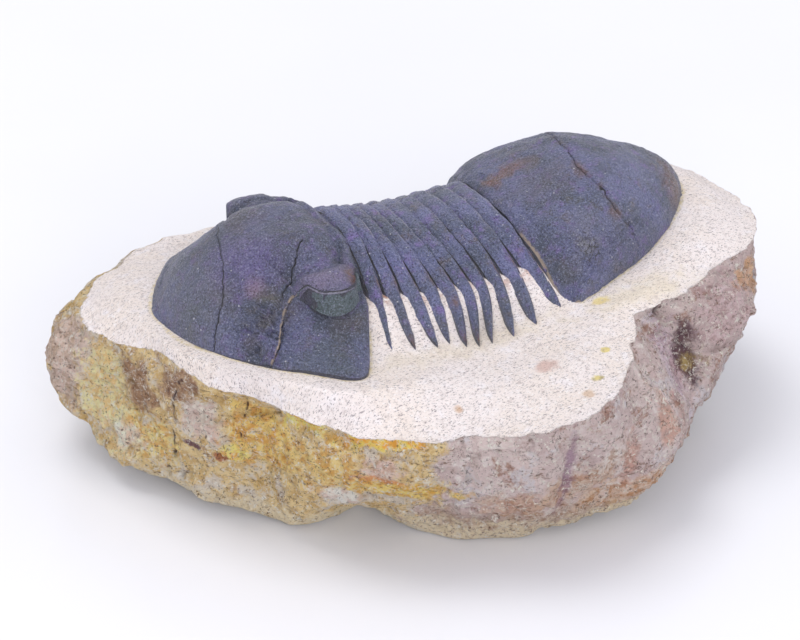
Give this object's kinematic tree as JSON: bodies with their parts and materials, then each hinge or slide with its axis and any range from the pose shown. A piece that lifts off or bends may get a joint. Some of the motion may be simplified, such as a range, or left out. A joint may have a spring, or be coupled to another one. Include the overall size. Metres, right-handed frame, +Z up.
{
  "type": "trilobite fossil",
  "caption": "Trilobite with a domed head, short drum eyes, bladed segments and a smooth domed tail, lying on a rough block of pale limestone.",
  "frame": {"origin": "middle of the flat sole, on the surface that the stone rests on", "axes": "+X along the animal from its head to its tail, +Z up, +Y to its far side (the animal's right)"},
  "size_m": [0.0926, 0.0708, 0.0359],
  "materials": {
    "limestone": "rough broken limestone, pale pinkish cream on top and ochre to mauve on the sides",
    "fossil_shell": "satin slate-violet calcite with brown and rust mottling"
  },
  "bodies": {
    "root": {"matrix": "limestone", "cranidium": "fossil_shell", "left_free_cheek": "fossil_shell", "right_free_cheek": "fossil_shell", "thoracic_segment_01": "fossil_shell", "thoracic_segment_02": "fossil_shell", "thoracic_segment_03": "fossil_shell", "thoracic_segment_04": "fossil_shell", "thoracic_segment_05": "fossil_shell", "thoracic_segment_06": "fossil_shell", "thoracic_segment_07": "fossil_shell", "thoracic_segment_08": "fossil_shell", "thoracic_segment_09": "fossil_shell", "thoracic_segment_10": "fossil_shell", "pygidium": "fossil_shell"}
  },
  "joints": []
}
